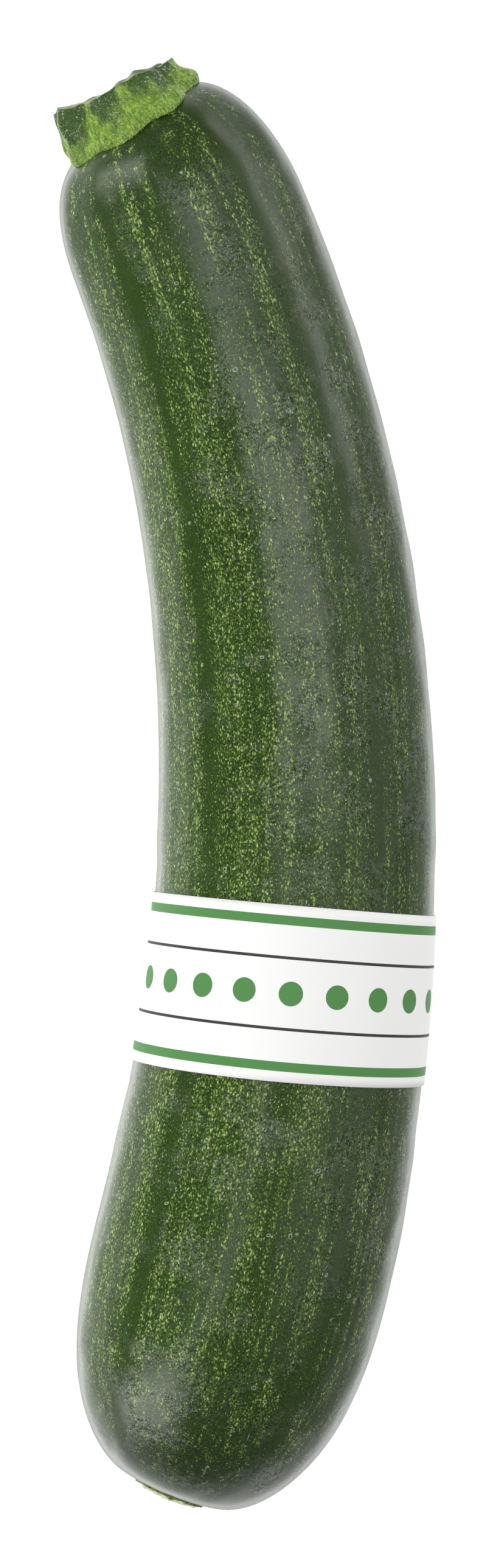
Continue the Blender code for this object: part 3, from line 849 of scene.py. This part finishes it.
def scar_point(run, turn):
    """The dome from its middle out to the rim, over the rim's edge and back under it to the middle."""
    dome = np.clip(run / SCAR_DOME, 0.0, 1.0)
    underside = np.clip((1.0 - run) / (1.0 - SCAR_RIM), 0.0, 1.0)
    rim = np.clip((run - SCAR_DOME) / (SCAR_RIM - SCAR_DOME), 0.0, 1.0)
    wavy = sum(np.cos(count * turn + count) for count in SCAR_RIM_WAVES)
    ragged = SCAR_RAGGED_SHARE * waves(0.0, turn, 16, 34, 1.0, 21)
    reach = SCAR_RADIUS * (1.0 + SCAR_RIM_WAVE_SHARE * wavy + ragged) * np.minimum(dome, underside)
    crown = SCAR_RIM_THICKNESS + SCAR_DOME_HEIGHT * (1.0 - dome**2)
    rough = SCAR_ROUGHNESS * waves(dome * 0.006, turn, 24, 24, 0.0015, 22) * dome * (1.0 - rim)
    proud = -0.0001 + (crown + rough) * (1.0 - rim**2)
    return skin_point(reach, turn, proud)


scar_run, scar_turn = np.meshgrid(
    np.linspace(0.0, 1.0, SCAR_ROWS + 1),
    np.arange(SCAR_STEPS_ROUND) * 2.0 * math.pi / SCAR_STEPS_ROUND - math.pi,
    indexing="ij",
)
scar_mesh, map_rows, map_columns = closed_grid("scar_cork", scar_point(scar_run, scar_turn))
add_map(scar_mesh, "OFBake", map_columns / SCAR_STEPS_ROUND, map_rows / SCAR_ROWS)
add_values(scar_mesh, "out", np.clip(scar_run / SCAR_DOME, 0.0, 1.3))
scar_cork = bpy.data.objects.new("scar_cork", scar_mesh)
bpy.context.scene.collection.objects.link(scar_cork)

# Dry cork: pale, chalky and cracked in the middle, turning to green-brown tissue at the rim.
CRUMB_SIZE = 0.0008
SPECK_SIZE = 0.0004

cork_material, tree, shader = new_material("dry_blossom_cork")
place = node(tree, "TexCoord", {}, "Object")
out = node(tree, "Attribute", {}, "Fac", attribute_name="out")
crumbs = node(tree, "TexNoise", {"Vector": place, "Scale": 1.0 / CRUMB_SIZE, "Detail": 4.0}, "Fac")
rim_share = node(tree, "Math", {0: crumbs, 1: 0.5, 2: out}, operation="MULTIPLY_ADD")
rim_share = node(
    tree,
    "MapRange",
    {"Value": rim_share, "From Min": 1.2, "From Max": 1.3},
    interpolation_type="SMOOTHSTEP",
)
cork = node(tree, "Mix", {0: crumbs, 6: linear("b5b88e"), 7: linear("e6e4cc")}, 2, data_type="RGBA")
specks = node(tree, "TexNoise", {"Vector": place, "Scale": 1.0 / SPECK_SIZE, "Detail": 2.0}, "Fac")
specks = node(tree, "MapRange", {"Value": specks, "From Min": 0.35, "From Max": 0.65})
rim_colour = node(tree, "Mix", {0: specks, 6: linear("3f5a22"), 7: linear("9aac6a")}, 2, data_type="RGBA")
cork = node(tree, "Mix", {0: rim_share, 6: cork, 7: rim_colour}, 2, data_type="RGBA")
tree.links.new(cork, shader.inputs["Base Color"])
bump = node(tree, "Bump", {"Height": crumbs, "Strength": 0.8, "Distance": 0.0003})
tree.links.new(bump, shader.inputs["Normal"])
shader.inputs["Roughness"].default_value = 0.8
scar_cork.data.materials.append(cork_material)
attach(scar_cork, "root")
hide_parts("blossom_scar")

# The paper band
# A strip of white coated paper, 30 mm wide, wound once round the fruit and glued where its ends
# overlap, low on the outside of the bend. It carries a plain printed pattern of dots, rules and
# stripes all round.
PAPER_THICKNESS = 0.00012
PAPER_PROUD = 0.00030
PAPER_LAP_TURN = math.radians(-38)
PAPER_LAP_LENGTH = 0.012
PAPER_LAP_GAP = 0.00002
PAPER_LAP_RISE_TURN = 0.25
PAPER_COLUMNS = 360
PAPER_ROWS = 24
BAND_RADIUS = 0.0262


def paper_point(along, across, lift):
    """The strip wound once round the skin: it starts under its own lap and rises over it at the end.

    along runs from 0 to 1, across is in metres from the middle of the strip, and lift is in metres off
    the inner face. The strip keeps its width, because the skin's bend is taken out of the distance."""
    lap = PAPER_LAP_LENGTH / BAND_RADIUS
    turn = PAPER_LAP_TURN - lap + (2.0 * math.pi + lap) * along
    bend, radius = (np.interp(BAND_MIDDLE, LINES["distance"], LINES[name]) for name in ("bend", "radius"))
    across = across + BAND_SLIP * np.cos(turn)
    distance = BAND_MIDDLE + across / (1.0 + bend * radius * np.cos(turn))
    skin = np.interp(distance, LINES["distance"], LINES["skin"])
    past_start = along * (2.0 * math.pi + lap) - 2.0 * math.pi
    over = smooth_step((past_start + PAPER_LAP_RISE_TURN) / PAPER_LAP_RISE_TURN)
    proud = PAPER_PROUD + lift + (PAPER_THICKNESS + PAPER_LAP_GAP) * over
    return skin_point(skin, turn, proud)


paper_along, paper_across = np.meshgrid(
    np.linspace(0.0, 1.0, PAPER_COLUMNS + 1), np.linspace(-0.5, 0.5, PAPER_ROWS + 1), indexing="ij"
)
outer = paper_point(paper_along, paper_across * BAND_WIDTH, PAPER_THICKNESS)
inner = paper_point(paper_along, paper_across * BAND_WIDTH, 0.0)
loop_places = np.concatenate([outer, inner[:, ::-1]], axis=1)

# Faces all round the strip, and one row of faces to close each end
columns, rows_round = loop_places.shape[:2]
grid = np.arange(columns * rows_round).reshape(columns, rows_round)
first, second = (each.ravel() for each in np.mgrid[0 : columns - 1, 0:rows_round])
nexts = (second + 1) % rows_round
paper_faces = np.stack(
    [grid[first, second], grid[first, nexts], grid[first + 1, nexts], grid[first + 1, second]], -1
)
end = np.arange(PAPER_ROWS)
back = rows_round - 1 - end
start_faces = np.stack([grid[0, end + 1], grid[0, end], grid[0, back], grid[0, back - 1]], -1)
end_faces = np.stack([grid[-1, end], grid[-1, end + 1], grid[-1, back - 1], grid[-1, back]], -1)
paper_mesh = bpy.data.meshes.new("band_paper")
paper_faces = np.concatenate([paper_faces, start_faces, end_faces])
paper_mesh.from_pydata(loop_places.reshape(-1, 3).tolist(), [], paper_faces.tolist())
paper_mesh.shade_smooth()

# Two maps: one for the bake, and one in metres from the top and from the middle, for the print on the
# outer face alone
loop_vertex = np.zeros(len(paper_mesh.loops), np.int32)
paper_mesh.loops.foreach_get("vertex_index", loop_vertex)
vertex_along = np.repeat(np.linspace(0.0, 1.0, columns), rows_round)
flat_across = np.concatenate(
    [np.linspace(0.0, 0.48, PAPER_ROWS + 1), np.linspace(0.5, 0.98, PAPER_ROWS + 1)]
)
vertex_across = np.tile(flat_across, columns)
loop_across = vertex_across[loop_vertex]
add_map(paper_mesh, "OFBake", vertex_along[loop_vertex], loop_across)
paper_length = 2.0 * math.pi * BAND_RADIUS + PAPER_LAP_LENGTH
print_turn = (PAPER_LAP_TURN - PAPER_LAP_LENGTH / BAND_RADIUS) + vertex_along * (paper_length / BAND_RADIUS)
FAR_FROM_PRINT = -9.0
print_across = np.concatenate(
    [np.linspace(-0.5, 0.5, PAPER_ROWS + 1), np.full(PAPER_ROWS + 1, FAR_FROM_PRINT)]
)
print_across = np.tile(print_across, columns)
add_map(
    paper_mesh,
    "print_metres",
    ((math.pi / 2.0 - print_turn) * BAND_RADIUS)[loop_vertex],
    (print_across * BAND_WIDTH)[loop_vertex],
)
band_paper = bpy.data.objects.new("band_paper", paper_mesh)
bpy.context.scene.collection.objects.link(band_paper)

# Coated label paper: smooth and bright white with a faint satin sheen, printed in green and black.
paper_material, tree, shader = new_material("coated_label_paper")
print_place = node(tree, "UVMap", {}, uv_map="print_metres")
split = tree.nodes.new("ShaderNodeSeparateXYZ")
tree.links.new(print_place, split.inputs[0])
right_of_top, towards_stem = split.outputs[0], split.outputs[1]


def between(tree, value, low, high):
    """1 where the value lies between low and high, else 0."""
    above = node(tree, "Math", {0: value, 1: low}, operation="GREATER_THAN")
    below = node(tree, "Math", {0: value, 1: high}, operation="LESS_THAN")
    return node(tree, "Math", {0: above, 1: below}, operation="MULTIPLY")


PAPER_FIBRE_SIZE = 0.0006
DOTS_ROUND = 20
DOT_SPACING = 2.0 * math.pi * BAND_RADIUS / DOTS_ROUND
DOT_RADIUS = 0.0021
RULE_INNER = 0.0058
RULE_OUTER = 0.0063
STRIPE_INNER = 0.0116
STRIPE_OUTER = 0.0132

# A row of round dots along the middle, two thin rules beside it, and a stripe along each edge
dot_across = node(tree, "Math", {0: right_of_top, 1: DOT_SPACING / 2.0}, operation="PINGPONG")
dot_distance = node(tree, "Math", {0: dot_across, 1: dot_across}, operation="MULTIPLY")
dot_distance = node(
    tree, "Math", {0: towards_stem, 1: towards_stem, 2: dot_distance}, operation="MULTIPLY_ADD"
)
dots = node(tree, "Math", {0: dot_distance, 1: DOT_RADIUS**2}, operation="LESS_THAN")
from_middle = node(tree, "Math", {0: towards_stem}, operation="ABSOLUTE")
edge_stripes = between(tree, from_middle, STRIPE_INNER, STRIPE_OUTER)
rules = between(tree, from_middle, RULE_INNER, RULE_OUTER)
green_print = node(tree, "Math", {0: dots, 1: edge_stripes}, operation="MAXIMUM")
paper = node(tree, "Mix", {0: green_print, 6: linear("fafaf9"), 7: linear("4b8a43")}, 2, data_type="RGBA")
paper = node(tree, "Mix", {0: rules, 6: paper, 7: linear("2a2a27")}, 2, data_type="RGBA")
tree.links.new(paper, shader.inputs["Base Color"])
fibre_place = node(tree, "TexCoord", {}, "Object")
fibre = node(
    tree, "TexNoise", {"Vector": fibre_place, "Scale": 1.0 / PAPER_FIBRE_SIZE, "Detail": 2.0}, "Fac"
)
bump = node(tree, "Bump", {"Height": fibre, "Strength": 0.15, "Distance": 0.00003})
tree.links.new(bump, shader.inputs["Normal"])
shader.inputs["Roughness"].default_value = 0.5
band_paper.data.materials.append(paper_material)
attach(band_paper, "root")
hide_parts("paper_band")

# The studio
# A plain white surface under the fruit that glows evenly where the camera sees it and, beyond, fades as a
# painted pool of light with a painted shadow to the right; long soft boxes over the top and low at the
# left, weaker ones at the right, and the camera straight above.
STUDIO_MIDDLE = (-0.00017, -0.00028)
MIDDLE_HEIGHT = 0.025
CAMERA_DISTANCE = 0.500
FRAME_HEIGHT = 0.28118

floor_mesh = bpy.data.meshes.new("floor")
floor_mesh.from_pydata([(-3, -3, 0), (3, -3, 0), (3, 3, 0), (-3, 3, 0)], [], [(0, 1, 2, 3)])
floor = bpy.data.objects.new("floor", floor_mesh)
bpy.context.scene.collection.objects.link(floor)
floor_material, tree, shader = new_material("white_studio_surface")
shader.inputs["Base Color"].default_value = linear("a0a0a0")
shader.inputs["Roughness"].default_value = 0.7
shader.inputs["Specular IOR Level"].default_value = 0.0
shader.inputs["Emission Color"].default_value = (1.0, 1.0, 1.0, 1.0)
floor_place = node(tree, "TexCoord", {}, "Object")
far = node(tree, "VectorMath", {0: floor_place, 1: (1.0, 0.6, 0.0)}, operation="MULTIPLY")
far = node(tree, "VectorMath", {0: far}, "Value", operation="LENGTH")
# Painted pool of light: the glow fades away from the fruit
painted_light_pool = node(
    tree, "MapRange", {"Value": far, "From Min": 0.16, "From Max": 0.40, "To Min": 0.92, "To Max": 0.25}
)
floor_split = tree.nodes.new("ShaderNodeSeparateXYZ")
tree.links.new(floor_place, floor_split.inputs[0])
# Painted shadow: the glow dims off to the right of the fruit
painted_shadow_right = node(
    tree,
    "MapRange",
    {"Value": floor_split.outputs[0], "From Min": 0.046, "From Max": 0.085, "To Min": 1.0, "To Max": 0.4},
)
painted_light_pool = node(tree, "Math", {0: painted_light_pool, 1: painted_shadow_right}, operation="MULTIPLY")
tree.links.new(painted_light_pool, shader.inputs["Emission Strength"])
floor.data.materials.append(floor_material)


def soft_box(name, across, along, roll, width, length, radiance):
    """A rectangular light 1 m from the fruit, facing it, with its angles in degrees and its brightness.

    across leans it from straight overhead to the right, and along then leans it towards the stem.
    roll turns it in its own plane."""
    across, along, roll, width, length = (
        math.radians(angle) for angle in (across, along, roll, width, length)
    )
    data = bpy.data.lights.new(name, "AREA")
    data.shape = "RECTANGLE"
    data.size = 2.0 * math.tan(width / 2.0)
    data.size_y = 2.0 * math.tan(length / 2.0)
    data.energy = radiance * math.pi * data.size * data.size_y
    light = bpy.data.objects.new(name, data)
    towards = np.array(
        [math.sin(across) * math.cos(along), math.sin(along), math.cos(across) * math.cos(along)]
    )
    light.location = towards + np.array([0.0, 0.0, MIDDLE_HEIGHT])
    light.rotation_mode = "ZXY"
    light.rotation_euler = (-along, across, roll)
    bpy.context.scene.collection.objects.link(light)


# Each light's lean to the right, lean towards the stem, roll, width and length in degrees, and radiance
LIGHTS = {
    "top_light": (8.0, 15.0, 0.0, 50.0, 20.0, 2.8),
    "left_front_light": (-64.0, -34.0, 10.0, 48.0, 22.0, 4.2),
    "front_strip": (-22.0, -11.0, 24.0, 34.0, 8.0, 2.4),
    "left_back_light": (-64.0, 27.0, 0.0, 40.0, 16.0, 4.4),
    "right_panel": (56.0, 8.0, 0.0, 64.0, 70.0, 0.6),
    "right_back_light": (88.0, 46.0, 0.0, 26.0, 50.0, 2.2),
}
for light_name, settings in LIGHTS.items():
    soft_box(light_name, *settings)

world = bpy.data.worlds.new("studio")
world.use_nodes = True
world.node_tree.nodes["Background"].inputs["Color"].default_value = (0.3, 0.3, 0.3, 1.0)
bpy.context.scene.world = world
bpy.context.scene.view_settings.view_transform = "Standard"

camera_data = bpy.data.cameras.new("camera")
camera_data.sensor_width = 36.0
camera_data.lens = camera_data.sensor_width * CAMERA_DISTANCE / FRAME_HEIGHT
camera_data.clip_start = 0.01
camera = bpy.data.objects.new("camera", camera_data)
camera.location = (*STUDIO_MIDDLE, MIDDLE_HEIGHT + CAMERA_DISTANCE)
bpy.context.scene.collection.objects.link(camera)
bpy.context.scene.camera = camera
